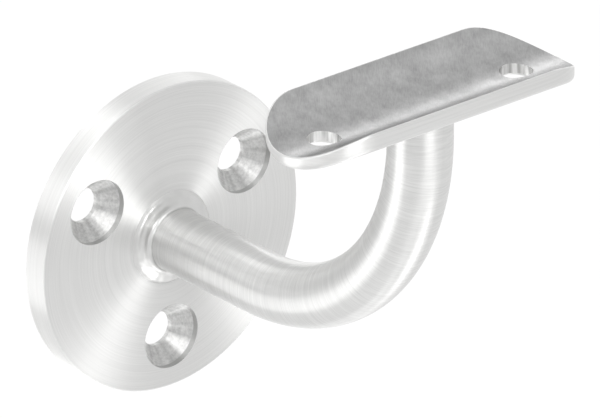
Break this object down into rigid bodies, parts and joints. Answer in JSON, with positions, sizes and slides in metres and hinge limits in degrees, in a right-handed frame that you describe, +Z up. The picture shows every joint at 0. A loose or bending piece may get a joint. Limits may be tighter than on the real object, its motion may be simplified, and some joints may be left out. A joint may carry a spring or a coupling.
{
  "type": "handrail bracket",
  "caption": "Wall bracket for a round handrail: a round flange with countersunk screw holes, a bent round arm and a curved saddle plate under the rail.",
  "frame": {"origin": "centre of the flange's back face, on the wall's surface", "axes": "-Y out of the wall, +X along the rail, +Z up"},
  "size_m": [0.0646, 0.0873, 0.0858],
  "materials": {
    "flange_steel": "stainless steel, turned and brushed in circles round its centre",
    "weld_steel": "stainless steel weld metal, ground smooth and polished",
    "arm_steel": "stainless steel bar, ground satin with fine scratches round it",
    "saddle_steel": "stainless steel plate, dull and faintly mottled on top, satin on its sides"
  },
  "bodies": {
    "root": {"wall_flange": "flange_steel", "root_weld": "weld_steel", "bent_arm": "arm_steel", "saddle_plate": "saddle_steel"}
  },
  "joints": []
}
